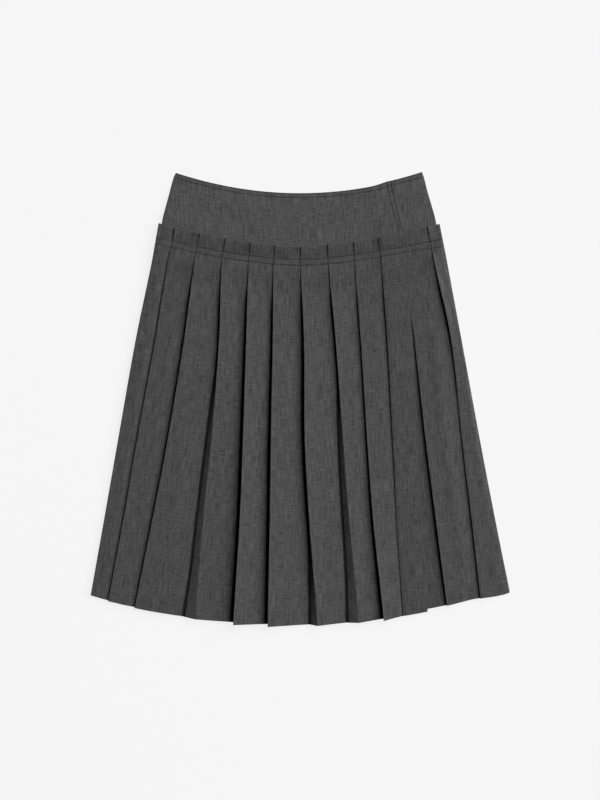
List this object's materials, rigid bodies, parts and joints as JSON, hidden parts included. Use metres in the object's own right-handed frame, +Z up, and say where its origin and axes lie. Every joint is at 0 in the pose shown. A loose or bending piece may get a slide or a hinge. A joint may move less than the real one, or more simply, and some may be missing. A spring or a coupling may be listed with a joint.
{
  "type": "pleated midi skirt",
  "caption": "Plain grey midi skirt laid flat, with knife pleats flaring from a smooth shaped yoke and a wrapped front edge.",
  "frame": {"origin": "on the surface that the skirt lies on, under the middle of its box", "axes": "+Y from the hem to the waist, +X to the viewer's right across the front, +Z up from the surface through the front"},
  "size_m": [0.6278, 0.6815, 0.0171],
  "materials": {
    "wool": "matte grey woven wool"
  },
  "bodies": {
    "root": {"pleats_front": "wool", "pleats_underlap": "wool", "pleats_back": "wool", "yoke_front": "wool", "yoke_underlap": "wool", "yoke_back": "wool"}
  },
  "joints": []
}
